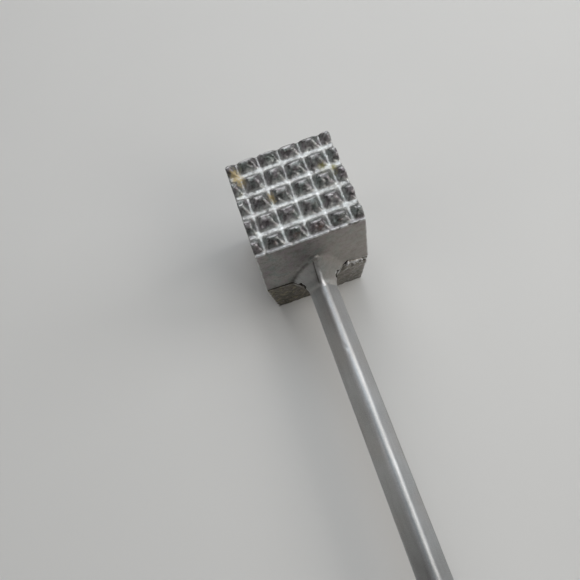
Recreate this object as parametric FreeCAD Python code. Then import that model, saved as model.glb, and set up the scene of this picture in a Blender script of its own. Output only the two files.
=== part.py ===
import FreeCAD, Part
import math
import os

# Meat mallet: a cast aluminium head on a cast bar handle.
# Frame: origin at the centre of the head's smooth underside. +Z points up through the toothed
# face, the handle runs out along -Y, and X runs across the head. Everything is in millimetres.

# Head block
top_width = 44.4            # across X, at the floor of the grooves
top_depth = 43.0            # along Y, at the floor of the grooves
draft = 1.4                 # how far each side stands out at the parting line
underside_width = 43.4
underside_depth = 42.0
parting_height = 29.0       # the two mould halves met here, and the handle's axis is here
groove_height = 62.0        # floor of the grooves
tip_height = 65.3           # flat tips of the teeth
corner_radius = 1.2         # upright corners of the block

# Teeth, cut by grooves that run both ways
pitch_across = 8.8          # from groove to groove along X
pitch_along = 9.2           # from groove to groove along Y
groove_floor = 1.1          # width of a groove's floor
side_slope = 2.2            # how far a tooth's left and right sides run in on the way up
end_slope = 2.9             # the same for its near and far sides
back_row_depth = 7.0        # from the last groove to the back face
grooves_across = 5
grooves_along = 4
cutter_overrun = 1.25       # the cutters are this much taller than the teeth

# Flared boss that the handle goes into
boss_length = 9.6           # out from the head's near side
boss_sink = 4.0             # how far its root goes inside the block
boss_root = (11.8, 18.0)    # half width and half height where it leaves the block
boss_fullness = 0.56        # at the root: 0 is a square on its corner, 1 is an oval
boss_flare = 2.4            # how suddenly it widens towards the block
boss_margin = 1.01          # its end is this much bigger than the bar

# Handle bar: a square bar turned on its corner, with its corners rounded
overall_length = 254.0      # from the back of the head to the tip of the handle
bar_half_width = 6.13
side_corner = 2.0           # radius of its left and right corners
crown_corner = 3.3          # radius of its top and bottom corners
end_taper = 5.0             # length of the rounded end
end_scale = 0.62            # how small the end gets
end_sweep = math.radians(77)  # how much of a quarter round the end is

# Tang of the handle inside the head, and the pin across it
tang_radius = 4.0
tang_length = 29.0
tang_chamfer = 0.8
socket_clearance = 0.05     # on the radius
socket_spare = 1.5          # left free beyond the tang
pin_radius = 1.5
pin_clearance = 0.02        # on the radius
pin_length = 15.2
pin_chamfer = 0.3
pin_offset = 3.3            # from the head's near side to the pin

# Worked out from the above
near_face = -(top_depth / 2 + draft)
boss_end = near_face - boss_length
pin_y = near_face - pin_offset
handle_end = -near_face - overall_length
bar_diagonal = bar_half_width + side_corner * (math.sqrt(2) - 1)
bar_half_height = bar_diagonal - crown_corner * (math.sqrt(2) - 1)
Y_AXIS = FreeCAD.Vector(0, 1, 0)
HAIR = 0.01                 # for telling apart faces and edges by where they are


def point(x, y, z):
    return FreeCAD.Vector(x, y, z)


def rounded_rectangle(width, depth, height):
    """A wire in a level plane: a rectangle with rounded corners."""
    blank = Part.makeBox(width, depth, 1, point(-width / 2, -depth / 2, height))
    upright = [e for e in blank.Edges if abs(e.tangentAt(e.FirstParameter).z) > 0.9]
    rounded = blank.makeFillet(corner_radius, upright)
    lowest = [f for f in rounded.Faces if f.BoundBox.ZMax < height + HAIR]
    return lowest[0].OuterWire


def head_block():
    """Two drafted halves that meet at the parting line, the upper one as high as the tips."""
    rise = (tip_height - parting_height) / (groove_height - parting_height)
    lip_width = top_width + 2 * draft * (1 - rise)
    lip_depth = top_depth + 2 * draft * (1 - rise)
    middle = rounded_rectangle(top_width + 2 * draft, top_depth + 2 * draft, parting_height)
    bottom = rounded_rectangle(underside_width, underside_depth, 0)
    top = rounded_rectangle(lip_width, lip_depth, tip_height)
    lower_half = Part.makeLoft([bottom, middle], True, True)
    upper_half = Part.makeLoft([middle, top], True, True)
    return lower_half.fuse(upper_half).removeSplitter()


def groove(centre, along_x):
    """One groove through the teeth, as the solid that is cut away."""
    reach = 2 * top_width
    slope = end_slope if along_x else side_slope
    tooth_height = tip_height - groove_height
    floor = groove_floor / 2
    mouth = floor + slope * cutter_overrun
    top = groove_height + tooth_height * cutter_overrun
    outline = [(-mouth, top), (-floor, groove_height), (floor, groove_height), (mouth, top)]
    if along_x:
        corners = [point(-reach / 2, centre + across, up) for across, up in outline]
        run = point(reach, 0, 0)
    else:
        corners = [point(centre + across, -reach / 2, up) for across, up in outline]
        run = point(0, reach, 0)
    return Part.Face(Part.makePolygon(corners + corners[:1])).extrude(run)


def tooth_grooves():
    middle = (grooves_across - 1) / 2
    cutters = [groove((i - middle) * pitch_across, False) for i in range(grooves_across)]
    last = top_depth / 2 - back_row_depth
    cutters += [groove(last - i * pitch_along, True) for i in range(grooves_along)]
    # the near row of teeth slopes down to a narrow ledge along the near edge
    cutters.append(groove(-top_depth / 2, True))
    return cutters


def bar_section(y, scale=1.0):
    """The bar's outline across Y: a square on its corner, its four corners rounded."""
    half = math.sqrt(0.5)

    def corner(direction, radius):
        # the two ends of the rounding on the flats, and the middle of its arc
        away = bar_diagonal - radius * math.sqrt(2)
        ahead = point(direction[0], 0, direction[1])
        side = point(-direction[1], 0, direction[0])
        centre = ahead * away
        first = centre + (ahead - side) * (half * radius)
        last = centre + (ahead + side) * (half * radius)
        return first, centre + ahead * radius, last

    def placed(p):
        return point(p.x * scale, y, p.z * scale + parting_height)

    radii = [side_corner, crown_corner, side_corner, crown_corner]
    turns = [(1, 0), (0, 1), (-1, 0), (0, -1)]
    corners = [corner(turn, radius) for turn, radius in zip(turns, radii)]
    edges = []
    for i, (first, middle, last) in enumerate(corners):
        following = corners[(i + 1) % len(corners)][0]
        edges.append(Part.Arc(placed(first), placed(middle), placed(last)).toShape())
        edges.append(Part.makeLine(placed(last), placed(following)))
    return Part.Wire(edges)


def bar_reach(turn):
    """How far the bar's outline is from its axis at an angle."""
    quarter = math.pi / 2
    corner = round(turn / quarter)
    radius = crown_corner if corner % 2 else side_corner
    away = bar_diagonal - radius * math.sqrt(2)
    lean = abs(turn - corner * quarter)
    if lean < math.atan2(radius, away * math.sqrt(2) + radius):
        return away * math.cos(lean) + math.sqrt(radius ** 2 - (away * math.sin(lean)) ** 2)
    return bar_diagonal * math.sqrt(0.5) / math.cos(math.pi / 4 - lean)


def boss_section(out):
    """The boss's outline, from 0 at the block to 1 at its end, where it has the bar's shape."""
    count = 32
    narrow = (1 - out) ** boss_flare
    fullness = boss_fullness * (1 - out) ** 2
    half_width = bar_half_width + (boss_root[0] - bar_half_width) * narrow
    half_height = bar_half_height + (boss_root[1] - bar_half_height) * narrow
    corners = []
    for i in range(count):
        turn = 2 * math.pi * i / count
        square = bar_reach(turn)
        across = (1 - fullness) * square / bar_half_width + fullness
        up = (1 - fullness) * square / bar_half_height + fullness
        x = half_width * across * math.cos(turn) * boss_margin
        z = half_height * up * math.sin(turn) * boss_margin
        corners.append(point(x, near_face - out * boss_length, parting_height + z))
    curve = Part.BSplineCurve()
    curve.interpolate(Points=corners, PeriodicFlag=True)
    return Part.Wire([curve.toShape()])


def flared_boss():
    """A trumpet that narrows from the head's side to just over the bar's own size."""
    steps = 6
    root = boss_section(0)
    buried = root.copy()
    buried.translate(point(0, boss_sink, 0))
    sections = [buried] + [boss_section(i / steps) for i in range(steps + 1)]
    return Part.makeLoft(sections, True, False)


def pin_hole():
    start = point(-pin_length, pin_y, parting_height)
    return Part.makeCylinder(pin_radius + pin_clearance, 2 * pin_length, start, point(1, 0, 0))


def head():
    """The casting: block, teeth, flared boss, the handle's socket and the pin's hole."""
    body = head_block().cut(Part.makeCompound(tooth_grooves()))
    body = body.fuse(flared_boss())
    socket_start = point(0, boss_end - 1, parting_height)
    socket_depth = tang_length + socket_spare + 1
    socket = Part.makeCylinder(tang_radius + socket_clearance, socket_depth, socket_start, Y_AXIS)
    return body.cut(socket).cut(pin_hole())


def handle():
    """The bar with its rounded end, and the round tang that goes into the head."""
    bar_end = handle_end + end_taper
    bar = Part.makeLoft([bar_section(bar_end), bar_section(boss_end)], True, True)
    steps = 4
    rings = []
    for i in range(steps + 1):
        turn = end_sweep * i / steps
        scale = end_scale + (1 - end_scale) * math.cos(turn)
        out = end_taper * math.sin(turn) / math.sin(end_sweep)
        rings.append(bar_section(bar_end - out, scale))
    end = Part.makeLoft(rings, True, True)
    tang = Part.makeCylinder(tang_radius, tang_length, point(0, boss_end, parting_height), Y_AXIS)
    inner_rim = [e for e in tang.Edges if e.BoundBox.YMin > boss_end + tang_length - HAIR]
    tang = tang.makeChamfer(tang_chamfer, inner_rim)
    return bar.fuse(end).fuse(tang).cut(pin_hole())


def cross_pin():
    start = point(-pin_length / 2, pin_y, parting_height)
    pin = Part.makeCylinder(pin_radius, pin_length, start, point(1, 0, 0))
    rims = [e for e in pin.Edges if e.BoundBox.XLength < HAIR]
    return pin.makeChamfer(pin_chamfer, rims)


os.makedirs("parts", exist_ok=True)
for name, make in (("head", head), ("handle", handle), ("cross_pin", cross_pin)):
    shape = make()
    print(name, shape.isValid(), len(shape.Solids), round(shape.Volume, 1), shape.BoundBox)
    shape.exportStep("parts/" + name + ".step")
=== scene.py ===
import math
import random

import bmesh
import bpy
from mathutils import Matrix, Quaternion, Vector, noise


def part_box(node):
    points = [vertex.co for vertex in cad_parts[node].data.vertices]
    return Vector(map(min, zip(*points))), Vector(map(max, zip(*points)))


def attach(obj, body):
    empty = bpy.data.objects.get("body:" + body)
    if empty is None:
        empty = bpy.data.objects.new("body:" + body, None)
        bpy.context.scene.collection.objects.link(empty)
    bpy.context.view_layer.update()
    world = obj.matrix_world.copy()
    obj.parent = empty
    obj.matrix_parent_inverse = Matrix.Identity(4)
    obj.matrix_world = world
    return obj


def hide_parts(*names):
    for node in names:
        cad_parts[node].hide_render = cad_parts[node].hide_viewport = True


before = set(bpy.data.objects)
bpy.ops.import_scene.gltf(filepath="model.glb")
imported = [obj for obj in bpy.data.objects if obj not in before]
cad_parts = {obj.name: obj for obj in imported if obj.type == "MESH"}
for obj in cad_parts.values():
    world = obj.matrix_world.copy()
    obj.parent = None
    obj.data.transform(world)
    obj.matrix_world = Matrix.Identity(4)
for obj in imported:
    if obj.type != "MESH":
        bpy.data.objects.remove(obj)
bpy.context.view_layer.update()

mm = 0.001

# Places and sizes taken from the frame
head_low, head_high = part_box("head")
bar_low, bar_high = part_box("handle")
pin_low, pin_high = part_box("cross_pin")
parting_height = (pin_low.z + pin_high.z) / 2
pin_y = (pin_low.y + pin_high.y) / 2
pin_hole_radius = (pin_high.z - pin_low.z) / 2 + 0.05 * mm
boss_end = head_low.y
tip_height = head_high.z
mid_width = head_high.x - head_low.x
mid_depth = 2 * head_high.y
near_face = -head_high.y

# The block and its teeth
draft = 1.4 * mm
top_width = mid_width - 2 * draft
top_depth = mid_depth - 2 * draft
underside_width = 43.4 * mm
underside_depth = 42.0 * mm
groove_height = 62.0 * mm
tooth_height = tip_height - groove_height
tooth_crown = 0.5 * mm        # height of the crown above the slopes
groove_floor = 1.1 * mm
across_extra = 0.3 * mm       # grooves that run across are wider, by this on each side
hip_rounding = 0.55 * mm      # width of the bevel between two slopes of a tooth
tooth_slope = 1.5 * mm        # how far the side slopes run in
extra_slope = 0.7 * mm        # the near and far slopes run in this much further
crown_slope = 0.6 * mm        # how far the crown runs in above the slopes
pitch_across = 8.8 * mm
pitch_along = 9.2 * mm
last_groove = top_depth / 2 - 7.0 * mm
back_pitch = 8.2 * mm         # the back row is closer, and cut short by the back face
ledge = 0.4 * mm              # flat strip along the near edge, besides half a groove
columns = 6
rows = 6                      # five rows of teeth and a strip beyond the near edge
cross_grooves = rows - 2      # grooves that run across, between the rows of teeth
overhang = 4.0 * mm           # how far that strip runs out before it is cut off

# The flared boss, the bar and the tang
boss_root_width = 11.8 * mm
boss_root_height = 18.0 * mm
boss_root_fullness = 0.56     # at the root: 0 is a square on its corner, 1 is an oval
boss_root_flare = 2.4         # how suddenly the boss widens towards the block
boss_sink = 4.0 * mm          # how far its root goes inside the block
side_corner = 2.0 * mm        # radius of the bar's left and right corners
crown_corner = 3.3 * mm       # radius of its top and bottom corners
ridge_corner = 1.1 * mm       # radius of the boss's sharper ridge
bar_half_width = 6.13 * mm
bar_diagonal = bar_half_width + side_corner * (math.sqrt(2) - 1)
tang_radius = 4.0 * mm
tang_end = bar_high.y
tang_chamfer = 0.8 * mm
socket_radius = 4.1 * mm
socket_end = tang_end + 1.5 * mm
end_length = 5.0 * mm
end_scale = 0.62              # how small the end gets
end_sweep = math.radians(77)  # how much of a quarter round the end is
shoulder_sink = 1.8 * mm      # the bar is let into the end of the boss
pin_hole_reach = 12.0 * mm    # the cutter for the pin's hole runs this far to each side
overrun = 5.0 * mm            # how far the socket's cutter and the block's skirt run past

# How finely the pieces are meshed
skin_step = 0.3 * mm
skin_faces = 195000
round_points = 96             # points round the bar and the boss
ring_step = 0.5 * mm
boss_rings = 32
end_rings = 16
rod_segments = 48

# Places in millimetres, for the functions that weather the head point by point
seam_level = parting_height / mm
teeth_level = groove_height / mm
crest_level = parting_height / mm + boss_root_height / mm
near_side = near_face / mm
boss_tip = boss_end / mm
pin_mouth = 8.2               # the pin's hole comes out this far to each side
crease_across = -1.1          # where the crease down the boss's ridge runs, across X
crease_end = -31.5            # and where it dies out, along Y


def smooth_step(low, high, value):
    t = min(1.0, max(0.0, (value - low) / (high - low)))
    return t * t * (3 - 2 * t)


def hump(value, width):
    """A smooth bump of height one that fades over a width."""
    return math.exp(-(value / width) ** 2)


def new_piece(name, bm):
    """Turns a bmesh into a smooth-shaded object that sits at the origin."""
    mesh = bpy.data.meshes.new(name)
    bm.to_mesh(mesh)
    bm.free()
    mesh.shade_smooth()
    piece = bpy.data.objects.new(name, mesh)
    bpy.context.scene.collection.objects.link(piece)
    return piece


def apply_modifiers(piece):
    """Swaps the piece's mesh for what its modifiers make of it."""
    graph = bpy.context.evaluated_depsgraph_get()
    finished = bpy.data.meshes.new_from_object(piece.evaluated_get(graph))
    old = piece.data
    piece.modifiers.clear()
    piece.data = finished
    bpy.data.meshes.remove(old)
    finished.shade_smooth()


def cut_away(piece, cutter):
    """Takes the cutter's volume out of the piece."""
    cut = piece.modifiers.new("cut", "BOOLEAN")
    cut.operation = "DIFFERENCE"
    cut.solver = "EXACT"
    cut.object = cutter
    apply_modifiers(piece)


def rod(name, radius, start, end):
    """A closed round rod between two points."""
    bm = bmesh.new()
    axis = end - start
    bmesh.ops.create_cone(bm, cap_ends=True, segments=rod_segments, radius1=radius,
                          radius2=radius, depth=axis.length)
    turn = axis.to_track_quat("Z", "Y").to_matrix().to_4x4()
    middle = Matrix.Translation((start + end) / 2)
    bmesh.ops.transform(bm, matrix=middle @ turn, verts=bm.verts)
    return new_piece(name, bm)


def pin_cutter():
    """The volume of the pin's hole, right across the boss."""
    return rod("cross", pin_hole_radius, Vector((-pin_hole_reach, pin_y, parting_height)),
               Vector((pin_hole_reach, pin_y, parting_height)))


def trim(bm, place, outward):
    """Cuts the solid with a plane, drops what lies outside it and closes the cut."""
    geometry = bm.verts[:] + bm.edges[:] + bm.faces[:]
    result = bmesh.ops.bisect_plane(bm, geom=geometry, plane_co=place, plane_no=outward,
                                    clear_outer=True)
    edges = [e for e in result["geom_cut"] if isinstance(e, bmesh.types.BMEdge)]
    bmesh.ops.holes_fill(bm, edges=edges, sides=0)


def batter(cap, chance):
    """Moves a tooth's flat tip as use has left it: shifted, shrunk, turned and a little sunk."""
    middle = cap.calc_center_median()
    slide = Vector((chance.uniform(-0.3, 0.3), chance.uniform(-0.3, 0.3), 0)) * mm
    spread = chance.uniform(0.85, 1.12)
    turn = Matrix.Rotation(chance.uniform(-0.1, 0.1), 3, "Z")
    for v in cap.verts:
        away = v.co - middle
        away.y -= math.copysign(extra_slope, away.y)
        v.co = middle + turn @ away * spread + slide
        v.co.z -= chance.uniform(0.0, 0.35) * mm


def raise_teeth(bm, chance):
    """A field of teeth: a grid whose faces rise to battered tips, with rounded hips."""
    bmesh.ops.create_grid(bm, x_segments=columns, y_segments=rows, size=0.5)
    lines = [last_groove - pitch_along * i for i in range(cross_grooves)]
    lines += [last_groove + back_pitch, -top_depth / 2 + ledge, -top_depth / 2 - overhang]
    lines.sort()
    for v in bm.verts:
        column = round((v.co.x + 0.5) * columns)
        row = round((v.co.y + 0.5) * rows)
        v.co = Vector(((column - columns / 2) * pitch_across, lines[row], groove_height))
    teeth = [f for f in bm.faces if f.calc_center_median().y > -top_depth / 2 + ledge]
    bmesh.ops.inset_individual(bm, faces=teeth, thickness=groove_floor / 2, use_even_offset=True)
    for tooth in teeth:
        middle = tooth.calc_center_median()
        for v in tooth.verts:
            v.co.y -= math.copysign(across_extra, v.co.y - middle.y)
    bmesh.ops.inset_individual(bm, faces=teeth, thickness=tooth_slope,
                               depth=tooth_height - tooth_crown, use_even_offset=True)
    for cap in teeth:
        batter(cap, chance)
    raised = {v for cap in teeth for v in cap.verts}
    hips = [e for e in bm.edges if (e.verts[0] in raised) != (e.verts[1] in raised)]
    bmesh.ops.bevel(bm, geom=hips, offset=hip_rounding, offset_type="OFFSET", segments=3,
                    profile=0.5, material=-1, affect="EDGES", clamp_overlap=True)
    # the bevel makes the caps anew, so they are found again by where they are
    caps = [f for f in bm.faces
            if f.normal.z > 0.9 and f.calc_center_median().z > groove_height + 2 * mm]
    bmesh.ops.inset_individual(bm, faces=caps, thickness=crown_slope, depth=tooth_crown,
                               use_even_offset=True)


def moved_points(geometry):
    """The points among what an extrusion has made."""
    return [v for v in geometry if isinstance(v, bmesh.types.BMVert)]


def hang_sides(bm):
    """Closes the field of teeth into a solid, and cuts its sides to their draft."""
    rim = [e for e in bm.edges if e.is_boundary]
    skirt = bmesh.ops.extrude_edge_only(bm, edges=rim)["geom"]
    for v in moved_points(skirt):
        v.co.z = parting_height - overrun
    bmesh.ops.holes_fill(bm, edges=[e for e in bm.edges if e.is_boundary], sides=0)
    bmesh.ops.recalc_face_normals(bm, faces=bm.faces)
    drop = groove_height - parting_height
    for x, y in ((1, 0), (-1, 0), (0, 1), (0, -1)):
        place = Vector((x * top_width / 2, y * top_depth / 2, groove_height))
        trim(bm, place, Vector((x * drop, y * drop, draft)).normalized())
    trim(bm, Vector((0, 0, parting_height)), Vector((0, 0, -1)))


def draw_in_lower_half(bm):
    """Runs the block down from the parting line to its smaller underside."""
    floor = min(bm.faces, key=lambda f: f.calc_center_median().z)
    drawn = bmesh.ops.extrude_face_region(bm, geom=[floor])["geom"]
    for v in moved_points(drawn):
        v.co.x *= underside_width / mid_width
        v.co.y *= underside_depth / mid_depth
        v.co.z = 0
    if floor.is_valid:
        bmesh.ops.delete(bm, geom=[floor], context="FACES_ONLY")
    bmesh.ops.recalc_face_normals(bm, faces=bm.faces)


def toothed_block():
    """The block, teeth and all, before it is joined to the boss."""
    bm = bmesh.new()
    raise_teeth(bm, random.Random(7))
    hang_sides(bm)
    draw_in_lower_half(bm)
    return new_piece("block", bm)


def bar_outline(turn, crown=crown_corner):
    """A square on its corner with its corners rounded, as the point at an angle: across, up."""
    quarter = math.pi / 2
    corner = round(turn / quarter)
    radius = crown if corner % 2 else side_corner
    away = bar_diagonal - radius * math.sqrt(2)
    lean = abs(turn - corner * quarter)
    if lean < math.atan2(radius, away * math.sqrt(2) + radius):
        reach = away * math.cos(lean) + math.sqrt(radius ** 2 - (away * math.sin(lean)) ** 2)
    else:
        reach = bar_diagonal * math.sqrt(0.5) / math.cos(math.pi / 4 - lean)
    return Vector((math.cos(turn), math.sin(turn))) * reach


def oval(turn, width, height):
    return Vector((math.cos(turn) * width, math.sin(turn) * height))


def rolled(sections):
    """A closed tube along Y. Each section is its place along Y and its outline round the axis."""
    bm = bmesh.new()
    count = len(sections) - 1
    bmesh.ops.create_grid(bm, x_segments=count, y_segments=round_points, size=0.5)
    for v in bm.verts:
        y, outline = sections[round((v.co.x + 0.5) * count)]
        even = (v.co.y + 0.5) * 2 * math.pi
        # points gather at the four corners, where the outline turns fastest
        gathered = even - 0.12 * math.sin(4 * even)
        spot = outline(gathered)
        v.co = Vector((spot.x, y, parting_height + spot.y))
    bmesh.ops.remove_doubles(bm, verts=bm.verts, dist=0.001 * mm)
    bmesh.ops.holes_fill(bm, edges=[e for e in bm.edges if e.is_boundary], sides=0)
    bmesh.ops.recalc_face_normals(bm, faces=bm.faces)
    return bm


def flared_boss():
    """The trumpet on the near side: full at the block, then ridged, then the bar's own shape."""
    bar_half_height = bar_outline(math.pi / 2).y

    def section(out):
        narrow = (1 - out) ** boss_root_flare
        width = 1 + (boss_root_width / bar_half_width - 1) * narrow
        height = 1 + (boss_root_height / bar_half_height - 1) * narrow
        fullness = boss_root_fullness * (1 - out) ** 2
        crown = ridge_corner + (crown_corner - ridge_corner) * smooth_step(0.55, 0.95, out)
        crest = bar_half_height / bar_outline(math.pi / 2, crown).y
        dip = 1 - 0.02 * smooth_step(0.7, 1.0, out)

        def outline(turn):
            square = bar_outline(turn, crown)
            square = Vector((square.x * width, square.y * height * crest))
            round_one = oval(turn, bar_half_width * width, bar_half_height * height)
            return square.lerp(round_one, fullness) * dip
        return outline

    length = boss_end - near_face
    sections = [(near_face + boss_sink, section(0.0))]
    for i in range(boss_rings + 1):
        sections.append((near_face + length * i / boss_rings, section(i / boss_rings)))
    return new_piece("boss", rolled(sections))


def seam_height(p):
    """Where the parting line runs: it wanders a little, and steps up at the near side's right."""
    height = seam_level + 0.35 * noise.noise(Vector((p.x, p.y, 0)) / 7)
    if p.y < near_side + 2.5:
        height += smooth_step(11.5, 14.5, p.x) * (2.2 - 0.3 * (p.x - 14.5))
    return height


def left_of_boss(p):
    """One on the near side to the left of the boss, and nought elsewhere."""
    return smooth_step(-9.0, -12.0, p.x) * smooth_step(3.0, 2.0, p.y - near_side)


def right_of_boss(p):
    """One where the flash was broken off, to the right of the boss."""
    return smooth_step(11.0, 13.5, p.x) * smooth_step(24.0, 22.0, p.x)


def seam_and_flash(p):
    """The parting line: a step between the mould halves, with a thin fin left here and there."""
    level = p.z - seam_height(p)
    fin = 0.22 * noise.noise(Vector((p.x, p.y, 5)) / 3.0)
    lip = 0.06 * hump(level - 0.6, 0.5)
    left = left_of_boss(p)
    under = -(0.36 + 0.45 * left) * hump(level + 0.1, 0.42 + 0.4 * left)
    step = -0.14 * smooth_step(0.0, -0.6, level) * smooth_step(-7.0, -3.0, level)
    return max(0.0, fin) * hump(level, 0.35) + lip + under + step


def foot(p):
    """The boss's skin runs out along the parting line to either side."""
    if p.y > near_side + 3:
        return 0.0
    across = abs(p.x + 0.5)
    reach = smooth_step(17.0, 10.5, across) * smooth_step(7.5, 10.0, across)
    return 0.25 * reach * hump(p.z - seam_level + 1.2, 1.0)


def torn_flash(p):
    """The rough place to the right of the boss: a gap, a fin, a hollow and a ledge."""
    if p.y > near_side + 2.5:
        return 0.0
    across = right_of_boss(p)
    level = p.z - seam_height(p)
    if across <= 0 or abs(level) > 10:
        return 0.0
    gap = -0.8 * hump(level + 0.3, 0.6)
    fin = 1.1 * hump(level + 1.7, 0.6) * (0.4 + 1.4 * noise.noise(p / 1.5))
    hollow = -0.9 * hump(level + 3.4, 0.9)
    ledge_below = 0.7 * hump(level + 7.5, 1.4)
    lumps = 0.5 * noise.fractal(p / 1.8, 0.8, 2.1, 3) * hump(level + 3.5, 3.6)
    return across * (gap + fin + hollow + ledge_below + lumps)


def pin_mouths(p):
    """The holes for the pin are ragged and sunk where they come out of the boss."""
    away = math.hypot(abs(p.x) - pin_mouth, p.y - pin_y / mm, p.z - seam_level - 1.0)
    return -1.0 * hump(away, 1.3) if away < 4 else 0.0


def rough_lower_half(p):
    """Below the parting line the near side was never dressed, and its bottom edge is ragged."""
    low = smooth_step(28.5, 26.0, p.z) * smooth_step(near_side + 4.0, near_side + 2.0, p.y)
    if low <= 0:
        return 0.0
    lumps = noise.fractal(p / 3.2, 0.75, 2.1, 3)
    notch = noise.noise(Vector((p.x / 3.0, 8, p.z / 9.0))) - 0.15
    return low * (0.26 * lumps - 1.3 * max(0.0, notch) * smooth_step(7, 1, p.z))


def crease(p):
    """How strong a fine crease is, down the left of the boss's ridge."""
    down = smooth_step(crest_level - 0.5, crest_level - 3.0, p.z)
    down *= smooth_step(crease_end, crease_end + 2.5, p.y)
    return hump(p.x - crease_across, 0.35) * down


def ridge_crease(p):
    """How deep the crease is cut."""
    if not boss_tip - 0.2 < p.y < near_side + 1.0 or p.z < seam_level:
        return 0.0
    return -0.16 * crease(p)


def knocks(p):
    """Bruises and chips on the teeth."""
    bruise = max(0.0, noise.noise(p / 1.9 + Vector((9, 4, 1))) - 0.22)
    hammered = noise.noise(p / 0.9)
    return -0.7 * bruise + 0.07 * hammered


def casting_offset(p, normal):
    """How far the skin stands out at a point, in millimetres."""
    out = 0.09 * noise.fractal(p / 7, 0.9, 2.0, 2) + 0.03 * noise.noise(p / 1.3)
    out *= smooth_step(boss_tip, boss_tip + 3, p.y)
    if p.z > teeth_level - 1.0:
        return out + knocks(p)
    side = smooth_step(0.95, 0.6, abs(normal.z))
    marks = seam_and_flash(p) + foot(p) + torn_flash(p) + rough_lower_half(p) + ridge_crease(p)
    marks += pin_mouths(p)
    return out + marks * side


def soften(bm, verts, passes):
    """Evens out the skin at some of its points."""
    for _ in range(passes):
        bmesh.ops.smooth_vert(bm, verts=verts, factor=0.5, use_axis_x=True, use_axis_y=True,
                              use_axis_z=True)


def blend_boss(bm):
    """Rounds the hollow between the boss and the block, most of all on the right."""
    crest = parting_height + boss_root_height
    nearest = boss_end * 0.35 + near_face * 0.65
    band = [v for v in bm.verts
            if nearest < v.co.y < near_face + 1.5 * mm
            and parting_height + 2 * mm < v.co.z < crest + 2 * mm
            and 2.2 * mm < abs(v.co.x) < 13 * mm]
    soften(bm, band, 10)
    soften(bm, [v for v in band if v.co.x > 0], 30)


def shape_casting(bm):
    """Moves the skin by its waviness, its flash and its knocks. The socket's wall stays round."""
    bm.normal_update()
    offsets = []
    for v in bm.verts:
        p = v.co / mm
        from_axis = math.hypot(p.x, p.z - seam_level)
        inside = boss_tip + 0.8 < p.y < socket_end / mm + 0.6
        if inside and from_axis < socket_radius / mm + 1.0:
            offsets.append(0.0)
        else:
            offsets.append(casting_offset(p, v.normal))
    for v, out in zip(bm.verts, offsets):
        v.co += v.normal * out * mm
        v.co.z = max(0.0, v.co.z)


def hollowness(bm, passes):
    """For each point, how far it lies below its neighbours along its normal, evened out."""
    bm.normal_update()
    bm.verts.index_update()
    around = [[e.other_vert(v).index for e in v.link_edges] for v in bm.verts]
    values = []
    for v in bm.verts:
        middle = sum((e.other_vert(v).co for e in v.link_edges), Vector()) / len(v.link_edges)
        values.append((middle - v.co).dot(v.normal) / skin_step)
    for _ in range(passes):
        values = [(values[i] + sum(values[j] for j in near)) / (1 + len(near))
                  for i, near in enumerate(around)]
    return values


# Dried spots on the toothed face: where and how wide, in millimetres, and how strong
ochre_spots = (
    ((-19.6, 17.4, 62.6), 1.9, 1.0), ((-18.3, 12.2, 62.5), 2.4, 1.0),
    ((-19.3, 14.8, 62.5), 1.6, 0.9), ((-8.6, 2.2, 62.6), 1.2, 0.9),
    ((-8.2, 0.4, 62.6), 1.2, 1.3), ((-7.8, -1.4, 62.7), 1.1, 0.8),
    ((-3.7, -9.4, 63.5), 1.5, 0.35),
)
olive_spots = (
    ((14.6, 6.6, 62.8), 1.7, 0.8), ((18.8, 4.4, 62.7), 1.5, 0.9),
    ((18.4, 1.6, 63.0), 1.3, 0.6), ((-19.8, 6.0, 63.0), 1.4, 0.4),
)
umber_spots = (
    ((-13.2, -19.6, 64.0), 1.4, 0.5), ((-4.4, -19.6, 64.0), 1.6, 0.8),
    ((4.6, -19.4, 64.0), 1.7, 0.8), ((13.4, -19.4, 64.2), 1.5, 0.5),
    ((-17.4, -6.0, 63.6), 1.5, 0.6), ((-13.0, 2.6, 63.8), 1.5, 0.5),
    ((4.8, -3.2, 64.0), 1.2, 0.4),
)


def spotted(p, spots):
    """How strongly a point is stained by a list of spots, whose edges are ragged."""
    total = 0.0
    for place, width, strength in spots:
        away = (p - Vector(place)).length
        if away < 3 * width:
            ragged = 0.9 + 1.3 * noise.noise(p / 0.9)
            total += strength * ragged * hump(away, width)
    return min(1.0, max(0.0, total))


def seam_and_near_side_shade(p):
    """Painted shade along the parting line, and in the marks of the near side."""
    left = left_of_boss(p)
    # painted shadow along the seam, under the lip of the upper half
    dark = (0.9 + 0.9 * left) * hump(p.z - seam_height(p) - 0.1, 0.5 + 0.6 * left)
    if p.y < near_side + 2:
        # painted shade darkens the near side below the seam
        dark += 0.35 * smooth_step(29.0, 26.5, p.z) * (0.5 + noise.noise(p / 2.5))
        # painted shade in the crease beside the ridge
        if seam_level + 3 < p.z:
            dark += 0.5 * crease(p)
        dark += torn_shade(p) + boss_edge_shade(p)
        # painted shade inside the pin's mouths
        dark -= pin_mouths(p)
    return dark


def torn_shade(p):
    """Painted shade lies thick where the flash was broken off."""
    level = p.z - seam_height(p)
    return right_of_boss(p) * hump(level + 2.5, 2.5) * (0.35 + 1.1 * noise.noise(p / 1.4))


def low_side_shade_and_mottle(p):
    """The near side below the parting line gets painted shade, heaviest on the left, and the
    material adds pale yellowish mottles there.
    """
    low = smooth_step(0.3, -0.7, p.z - seam_height(p)) * smooth_step(3.5, 2.0, p.y - near_side)
    return low * (0.35 + 0.65 * smooth_step(6.0, -6.0, p.x))


def ridge_highlight(p):
    """A painted highlight runs all the way down the boss's ridge, just right of its crest."""
    down = smooth_step(near_side - 1.5, near_side - 4.0, p.y) * smooth_step(28, 32, p.z)
    return (1.1 + 0.5 * noise.noise(p / 1.5)) * hump(p.x - 0.4, 0.75) * down


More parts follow.
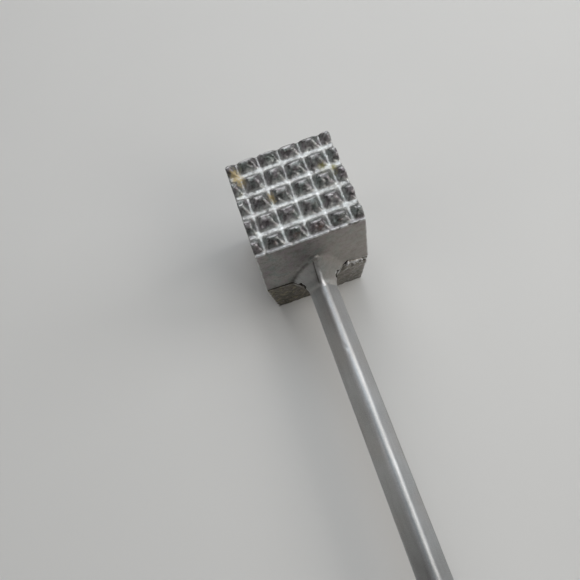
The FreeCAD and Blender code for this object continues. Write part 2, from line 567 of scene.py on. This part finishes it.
def boss_edge_shade(p):
    """A painted shade line where the boss's left side meets the block."""
    if p.x > -2 or p.z < seam_level:
        return 0.0
    return 0.7 * hump(p.y - near_side + 0.3, 0.4) * smooth_step(-2.0, -4.0, p.x)


def grey_boss_and_lit_flank(p):
    """The boss has a less rough, greyer skin than the block, and painted light makes its left
    flank lighter; on the right this fades.
    """
    out = smooth_step(near_side - 0.4, near_side - 1.6, p.y)
    return out * (1 - 0.6 * smooth_step(0.0, 3.0, p.x))


def brown_and_lit(p):
    """To the right of the boss the near side is painted lighter, a painted light, with a brown
    tint.
    """
    return smooth_step(-3.0, 8.0, p.x) * smooth_step(2.5, 0.5, p.y - near_side)


def rim_highlight(p):
    """A painted highlight along the near rim of the toothed face."""
    away = math.hypot(p.y + top_depth / 2 / mm, p.z - teeth_level)
    return 0.8 * hump(away, 0.6) * (0.8 + 0.5 * noise.noise(p / 2.0))


def grime_and_shade(hollow, p, normal):
    """Dirt gathers in hollows, and painted shade lies in the near side's marks. The toothed face
    is scoured out, but its tips that face straight up are painted dark, a painted shade.
    """
    height = p.z - teeth_level
    if height > -1.0:
        # painted shade on tips that face straight up
        flat = smooth_step(0.10, -0.02, normal.y) * smooth_step(0.75, 0.92, normal.z)
        return 2.0 * hollow + 0.6 * flat * smooth_step(2.0, 2.7, height)
    return 7.0 * hollow + seam_and_near_side_shade(p)


def from_cross_groove(y):
    """How far a place along Y is from the middle of the nearest groove that runs across."""
    return min(abs(y - (last_groove - pitch_along * i) / mm) for i in range(cross_grooves))


def crossing_sheen(p):
    """A painted highlight where the grooves cross, brightest of all."""
    pitch = pitch_across / mm
    beside = ((p.x / pitch + 0.5) % 1 - 0.5) * pitch
    strength = 0.7 + 0.9 * noise.noise(p / 1.7)
    return strength * hump(from_cross_groove(p.y + 0.3), 0.6) * hump(beside, 0.8)


def wear_and_highlight(hollow, p, normal):
    """Edges that stand out show bright wear, but the teeth only at their tips. Painted highlights
    are added where the grooves cross, on the far edge of each tip, along the near rim and down
    the boss's ridge.
    """
    height = p.z - teeth_level
    if height > -0.8 and normal.z > 0.7:
        groove_sheen_and_scour = crossing_sheen(p) * smooth_step(0.9, 0.4, height)
        if groove_sheen_and_scour > 0.05:
            return groove_sheen_and_scour
    if height > 0.3:
        tip = smooth_step(1.7, 2.4, height)
        # the far edge of each tip faces back towards the lamps and gets a painted highlight
        return tip * (-2 * hollow + 1.1 * smooth_step(0.10, 0.32, normal.y))
    return -9 * hollow + rim_highlight(p) + ridge_highlight(p)


def scoured_and_sheen(p):
    """The floors of the grooves are scoured lighter, with a painted highlight that is strongest
    in the grooves that run across.
    """
    height = p.z - teeth_level
    floor = smooth_step(-0.7, -0.3, height) * smooth_step(2.0, 0.3, height)
    uneven = 0.95 + 0.8 * noise.noise(p / 1.4)
    return floor * uneven * (0.32 + 0.68 * smooth_step(2.5, 1.3, from_cross_groove(p.y + 0.4)))


def store(mesh, name, values):
    """Keeps a value from nought to one at each point, for the material to read."""
    attribute = mesh.attributes.new(name, "FLOAT", "POINT")
    attribute.data.foreach_set("value", [min(1.0, max(0.0, value)) for value in values])


def head_casting():
    """The head in one skin: block and boss joined, hollowed for tang and pin, then weathered."""
    block = toothed_block()
    boss = flared_boss()
    socket = rod("socket", socket_radius, Vector((0, boss_end - overrun, parting_height)),
                 Vector((0, socket_end, parting_height)))
    cross = pin_cutter()
    bm = bmesh.new()
    for part in (block, boss):
        for cutter in (socket, cross):
            cut_away(part, cutter)
        bm.from_mesh(part.data)
    for used in (block, boss, socket, cross):
        bpy.data.objects.remove(used)
    piece = new_piece("head_casting", bm)
    skin = piece.modifiers.new("skin", "REMESH")
    skin.mode = "VOXEL"
    skin.voxel_size = skin_step
    apply_modifiers(piece)
    bm = bmesh.new()
    bm.from_mesh(piece.data)
    soften(bm, bm.verts, 5)
    soften(bm, [v for v in bm.verts if v.co.z > groove_height + 1.0 * mm], 5)
    blend_boss(bm)
    shape_casting(bm)
    hollow = hollowness(bm, 2)
    places = [v.co / mm for v in bm.verts]
    normals = [v.normal.copy() for v in bm.verts]
    bm.to_mesh(piece.data)
    bm.free()
    for name, rule in (("wear_and_highlight", wear_and_highlight), ("grime_and_shade", grime_and_shade)):
        store(piece.data, name, [rule(h, p, n) for h, p, n in zip(hollow, places, normals)])
    for name, rule in (("brown_and_lit", brown_and_lit), ("grey_boss_and_lit_flank", grey_boss_and_lit_flank), ("scoured_and_sheen", scoured_and_sheen),
                       ("low_side_shade_and_mottle", low_side_shade_and_mottle)):
        store(piece.data, name, [rule(p) for p in places])
    for name, spots in (("umber", umber_spots), ("ochre", ochre_spots), ("olive", olive_spots)):
        store(piece.data, name, [spotted(p, spots) for p in places])
    thin = piece.modifiers.new("thin", "DECIMATE")
    thin.ratio = min(1.0, skin_faces / (2 * len(piece.data.polygons)))
    apply_modifiers(piece)
    return piece


# Nicks on the crown of the bar: place along it and how far round it, in millimetres, and
# depth as a share of the bar's size
bar_nicks = ((-34.3, 0.2, 0.025), (-35.8, 0.5, 0.02), (-58.5, 0.5, 0.02), (-59.6, 0.1, 0.015),
             (-47.0, 0.6, 0.01), (-83.0, 0.3, 0.012), (-104.0, 0.5, 0.01))


def worn_bar(turn, place):
    """Slight waviness and hand wear of the bar at an angle and a place along it."""
    p = Vector((math.cos(turn) * 2.0, math.sin(turn) * 2.0, place / mm / 14))
    wavy = 0.006 * noise.noise(p) + 0.003 * noise.noise(p * 4)
    wavy *= smooth_step(boss_end, boss_end - 5 * mm, place)
    nicks = sum(depth * hump(place / mm - y, 0.6) * hump((turn - math.pi / 2) * 5 - side, 0.7)
                for y, side, depth in bar_nicks)
    return 1 + wavy - nicks


def handle_bar():
    """The bar with its rounded end, its shoulder against the boss, and its tang."""
    sections = []
    for i in range(end_rings):
        round_the_end = end_sweep * (1 - i / end_rings)
        size = end_scale + (1 - end_scale) * math.cos(round_the_end)
        place = bar_low.y + end_length * (1 - math.sin(round_the_end) / math.sin(end_sweep))
        sections.append((place, lambda turn, size=size, place=place:
                         bar_outline(turn) * size * worn_bar(turn, place)))
    straight = boss_end - bar_low.y - end_length
    count = round(straight / ring_step)
    for i in range(count + 1):
        place = bar_low.y + end_length + straight * i / count
        sections.append((place, lambda turn, place=place:
                         bar_outline(turn) * worn_bar(turn, place)))
    # two rings close together keep the shading even up to the shoulder
    for short in (0.1 * mm, 0.0):
        sections.append((boss_end + shoulder_sink - short, bar_outline))
    for place, radius in ((boss_end + shoulder_sink, tang_radius),
                          (tang_end - tang_chamfer, tang_radius),
                          (tang_end, tang_radius - tang_chamfer)):
        sections.append((place, lambda turn, radius=radius: oval(turn, radius, radius)))
    bar = new_piece("handle_bar", rolled(sections))
    cross = pin_cutter()
    cut_away(bar, cross)
    bpy.data.objects.remove(cross)
    return bar


# Materials

def node(tree, kind, inputs=None, **settings):
    """Adds a shader node. An input is a value, or a socket to link from."""
    made = tree.nodes.new("ShaderNode" + kind)
    for key, value in settings.items():
        setattr(made, key, value)
    for key, value in (inputs or {}).items():
        if isinstance(value, bpy.types.NodeSocket):
            tree.links.new(value, made.inputs[key])
        else:
            made.inputs[key].default_value = value
    return made


def new_material(name):
    material = bpy.data.materials.new(name)
    material.use_nodes = True
    tree = material.node_tree
    return material, tree, tree.nodes["Principled BSDF"]


def speckle(tree, place, scale, detail=3.0, rough=0.55):
    """A cloudy pattern, finer as the scale grows."""
    made = node(tree, "TexNoise", {"Vector": place, "Scale": scale, "Detail": detail,
                                   "Roughness": rough})
    return made.outputs["Fac"]


def ramp(tree, value, low, high, start=0.0, end=1.0):
    """Maps low..high of a value onto start..end, clamped."""
    made = node(tree, "MapRange", {"Value": value, "From Min": low, "From Max": high,
                                   "To Min": start, "To Max": end})
    return made.outputs["Result"]


def blend_colour(tree, factor, first, second):
    """Goes from the first colour to the second. Each is three values, or a socket."""
    made = node(tree, "Mix", data_type="RGBA", clamp_factor=True)
    for socket, value in ((0, factor), (6, first), (7, second)):
        if isinstance(value, bpy.types.NodeSocket):
            tree.links.new(value, made.inputs[socket])
        elif socket == 0:
            made.inputs[socket].default_value = value
        else:
            made.inputs[socket].default_value = (*value, 1.0)
    return made.outputs[2]


def maths(tree, operation, first, second):
    """A sum on two sockets or values."""
    made = node(tree, "Math", {0: first, 1: second}, operation=operation)
    return made.outputs[0]


def attribute(tree, name):
    return node(tree, "Attribute", attribute_name=name).outputs["Fac"]


def wash(tree, colour, paint, strength, where, low=0.0, high=1.0):
    """Lays a paint over a colour, from nothing at the low value to its strength at the high."""
    return blend_colour(tree, ramp(tree, where, low, high, 0.0, strength), colour, paint)


def roughen(tree, bsdf, height, strength, distance):
    """Makes the skin look pitted."""
    bump = node(tree, "Bump", {"Height": height, "Strength": strength, "Distance": distance})
    tree.links.new(bump.outputs["Normal"], bsdf.inputs["Normal"])


def stained_teeth(tree, place, colour, patch):
    """Purple and green tints, then dark and light patches, on the toothed face only."""
    height = node(tree, "SeparateXYZ", {"Vector": place}).outputs["Z"]
    teeth = ramp(tree, height, groove_height - 0.5 * mm, groove_height + 0.5 * mm)
    stain = speckle(tree, place, 210, 3, 0.6)
    colour = wash(tree, colour, (0.25, 0.265, 0.265), 0.5, teeth)
    for pattern, low, high, strength, paint in (
            (stain, 0.50, 0.60, 0.4, (0.27, 0.20, 0.235)),
            (stain, 0.48, 0.38, 0.35, (0.20, 0.27, 0.245)),
            (patch, 0.50, 0.62, 0.8, (0.09, 0.083, 0.082)),
            (patch, 0.46, 0.36, 0.6, (0.50, 0.50, 0.49))):
        factor = maths(tree, "MULTIPLY", teeth, ramp(tree, pattern, low, high, 0.0, strength))
        colour = blend_colour(tree, factor, colour, paint)
    return colour


def cast_aluminium():
    """A matt grey cast skin with its stains, dirt and bright wear, and with painted highlights
    and painted shade laid into its colour.
    """
    material, tree, bsdf = new_material("cast_aluminium")
    place = node(tree, "TexCoord").outputs["Object"]
    cloud = speckle(tree, place, 95, 5)
    mottle = speckle(tree, place, 420, 4, 0.65)
    grain = speckle(tree, place, 1900, 2, 0.6)
    tint = speckle(tree, place, 260, 2)
    patch = speckle(tree, place, 520, 4, 0.65)
    low_near_side = attribute(tree, "low_side_shade_and_mottle")
    ochre = attribute(tree, "ochre")
    olive = attribute(tree, "olive")

    colour = blend_colour(tree, ramp(tree, cloud, 0.35, 0.68), (0.22, 0.215, 0.205),
                          (0.34, 0.325, 0.305))
    colour = wash(tree, colour, (0.28, 0.225, 0.25), 0.6, tint, 0.52, 0.66)
    colour = wash(tree, colour, (0.21, 0.255, 0.24), 0.6, tint, 0.48, 0.36)
    colour = wash(tree, colour, (0.14, 0.13, 0.12), 0.5, mottle, 0.5, 0.72)
    colour = wash(tree, colour, (0.50, 0.50, 0.50), 0.22, grain, 0.42, 0.62)
    # painted light with a brown tint, right of the boss
    colour = wash(tree, colour, (0.40, 0.365, 0.325), 0.55, attribute(tree, "brown_and_lit"))
    # greyer boss skin, with painted light on its left flank
    colour = wash(tree, colour, (0.39, 0.39, 0.385), 0.6, attribute(tree, "grey_boss_and_lit_flank"))
    colour = stained_teeth(tree, place, colour, patch)
    # dark brown painted shade on the near side below the parting line
    colour = wash(tree, colour, (0.12, 0.102, 0.078), 0.85, low_near_side)
    # pale yellowish mottles over that lower near side
    pale = maths(tree, "MULTIPLY", low_near_side, ramp(tree, mottle, 0.52, 0.62))
    colour = wash(tree, colour, (0.36, 0.34, 0.24), 0.85, pale)
    colour = wash(tree, colour, (0.22, 0.12, 0.09), 0.6, attribute(tree, "umber"), 0.1, 0.8)
    # groove floors: scoured metal and a painted highlight, strongest across
    groove_sheen_and_scour = maths(tree, "MULTIPLY", attribute(tree, "scoured_and_sheen"),
                   ramp(tree, patch, 0.34, 0.6, 1.25, 0.5))
    colour = blend_colour(tree, groove_sheen_and_scour, colour, (0.58, 0.585, 0.57))
    # dirt and painted shade darken the colour
    colour = wash(tree, colour, (0.035, 0.031, 0.026), 0.88, attribute(tree, "grime_and_shade"), 0.1, 0.9)
    # bright wear and painted highlights
    colour = wash(tree, colour, (0.82, 0.82, 0.83), 0.8, attribute(tree, "wear_and_highlight"), 0.25, 1.0)
    colour = wash(tree, colour, (0.42, 0.33, 0.17), 0.9, ochre, 0.15, 0.8)
    colour = wash(tree, colour, (0.24, 0.22, 0.08), 0.9, olive, 0.1, 0.8)

    tree.links.new(colour, bsdf.inputs["Base Color"])
    spots = maths(tree, "MAXIMUM", ochre, olive)
    tree.links.new(ramp(tree, spots, 0.1, 0.7, 0.95, 0.3), bsdf.inputs["Metallic"])
    tree.links.new(ramp(tree, mottle, 0.3, 0.75, 0.38, 0.6), bsdf.inputs["Roughness"])
    pitted = maths(tree, "ADD", maths(tree, "MULTIPLY", grain, 0.35), mottle)
    roughen(tree, bsdf, pitted, 0.35, 0.25 * mm)
    return material


def worn_aluminium():
    """The bar's metal: smoothed by hands, with fine streaks along it."""
    material, tree, bsdf = new_material("handle_aluminium")
    place = node(tree, "TexCoord").outputs["Object"]
    along = node(tree, "Mapping", {"Vector": place, "Scale": (1.0, 0.06, 1.0)}).outputs["Vector"]
    cloud = speckle(tree, place, 60, 4)
    warm = speckle(tree, place, 38, 2)
    streak = speckle(tree, along, 900, 4, 0.6)
    grain = speckle(tree, place, 3200, 2)

    colour = blend_colour(tree, ramp(tree, cloud, 0.35, 0.68), (0.33, 0.335, 0.335),
                          (0.405, 0.415, 0.42))
    colour = wash(tree, colour, (0.38, 0.36, 0.345), 0.7, warm, 0.45, 0.65)
    colour = wash(tree, colour, (0.26, 0.25, 0.24), 0.35, streak, 0.5, 0.75)
    colour = wash(tree, colour, (0.60, 0.60, 0.60), 0.3, grain, 0.45, 0.65)

    tree.links.new(colour, bsdf.inputs["Base Color"])
    tree.links.new(ramp(tree, streak, 0.3, 0.75, 0.3, 0.46), bsdf.inputs["Roughness"])
    bsdf.inputs["Metallic"].default_value = 0.95
    pitted = maths(tree, "ADD", streak, maths(tree, "MULTIPLY", grain, 0.8))
    roughen(tree, bsdf, pitted, 0.3, 0.12 * mm)
    return material


def dark_pin():
    """Plain steel gone dark, at the bottom of the pin's mouths."""
    material, tree, bsdf = new_material("pin_steel")
    place = node(tree, "TexCoord").outputs["Object"]
    cloud = speckle(tree, place, 900, 4)
    colour = blend_colour(tree, ramp(tree, cloud, 0.35, 0.7), (0.04, 0.036, 0.03),
                          (0.13, 0.12, 0.11))
    tree.links.new(colour, bsdf.inputs["Base Color"])
    tree.links.new(ramp(tree, cloud, 0.3, 0.7, 0.45, 0.7), bsdf.inputs["Roughness"])
    bsdf.inputs["Metallic"].default_value = 0.9
    roughen(tree, bsdf, cloud, 0.4, 0.2 * mm)
    return material


def pale_floor():
    material, tree, bsdf = new_material("pale_floor")
    place = node(tree, "TexCoord").outputs["Object"]
    cloud = speckle(tree, place, 6, 3)
    colour = blend_colour(tree, cloud, (0.66, 0.65, 0.63), (0.70, 0.69, 0.67))
    tree.links.new(colour, bsdf.inputs["Base Color"])
    bsdf.inputs["Roughness"].default_value = 0.8
    return material


def dress(piece, material):
    piece.data.materials.clear()
    piece.data.materials.append(material)


head = head_casting()
dress(head, cast_aluminium())
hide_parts("head")
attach(head, "root")

handle = handle_bar()
dress(handle, worn_aluminium())
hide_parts("handle")
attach(handle, "root")

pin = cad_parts["cross_pin"]
dress(pin, dark_pin())


# Stage: a pale floor, soft lights, and the camera

# Sizes here are in metres
floor_half_width = 1.5
light_size = 0.55
light_distance = 1.15
light_aim = Vector((0, -30, 30)) * mm
plain_light = (1.0, 0.99, 0.98)
cool_light = (0.93, 0.96, 1.0)
blue_light = (0.80, 0.91, 1.0)
warm_light = (1.0, 0.97, 0.92)

# Elevation, bearing, power and colour. Bearing 0 is to the right, 90 is behind. Most of the
# light comes from the right and from behind.
soft_boxes = (
    (38, 0, 3.0, plain_light),
    (14, 0, 1.2, cool_light),
    (62, 0, 1.1, plain_light),
    (38, 315, 2.8, warm_light),
    (62, 45, 1.6, blue_light),
    (38, 45, 0.5, plain_light),
    (38, 90, 2.3, plain_light),
    (62, 90, 2.1, cool_light),
    (82, 300, 0.5, blue_light),
    (62, 180, 0.9, plain_light),
    (38, 180, 0.4, plain_light),
    (14, 180, 0.6, warm_light),
)


def add_floor():
    bm = bmesh.new()
    bmesh.ops.create_grid(bm, x_segments=8, y_segments=8, size=floor_half_width)
    floor = new_piece("floor", bm)
    dress(floor, pale_floor())


def add_soft_box(elevation, bearing, power, colour):
    """A square soft light that faces the mallet."""
    rise = math.radians(elevation)
    turn = math.radians(bearing)
    away = Vector((math.cos(rise) * math.cos(turn), math.cos(rise) * math.sin(turn),
                   math.sin(rise)))
    lamp = bpy.data.lights.new(f"soft_box_{elevation}_{bearing}", "AREA")
    lamp.shape = "SQUARE"
    lamp.size = light_size
    lamp.energy = power
    lamp.color = colour
    made = bpy.data.objects.new(lamp.name, lamp)
    made.location = light_aim + away * light_distance
    made.rotation_euler = (-away).to_track_quat("-Z", "Y").to_euler()
    bpy.context.scene.collection.objects.link(made)


def add_world():
    """A room that is nearly dark, so that the soft boxes shape the metal."""
    world = bpy.data.worlds.new("room")
    world.use_nodes = True
    background = world.node_tree.nodes["Background"]
    background.inputs["Color"].default_value = (0.85, 0.9, 1.0, 1.0)
    background.inputs["Strength"].default_value = 0.01
    bpy.context.scene.world = world


def add_camera():
    """Looks steeply down past the handle's left side, and rolled so that it runs to the right."""
    aim = Vector((-13.8, -38.3, 62.0)) * mm
    distance = 174.5 * mm
    rise = math.radians(69.15)
    turn = math.radians(0.13)
    roll = math.radians(19.66)
    ahead = Vector((-math.sin(turn) * math.cos(rise), math.cos(turn) * math.cos(rise),
                    -math.sin(rise)))
    lens = bpy.data.cameras.new("camera")
    lens.lens = 29.8
    lens.sensor_width = 36.0
    lens.clip_start = 0.005
    camera = bpy.data.objects.new("camera", lens)
    camera.rotation_mode = "QUATERNION"
    camera.rotation_quaternion = ahead.to_track_quat("-Z", "Y") @ Quaternion((0, 0, 1), -roll)
    camera.location = aim - ahead * distance
    bpy.context.scene.collection.objects.link(camera)
    bpy.context.scene.camera = camera


add_floor()
for box in soft_boxes:
    add_soft_box(*box)
add_world()
add_camera()
bpy.context.scene.view_settings.view_transform = "Standard"
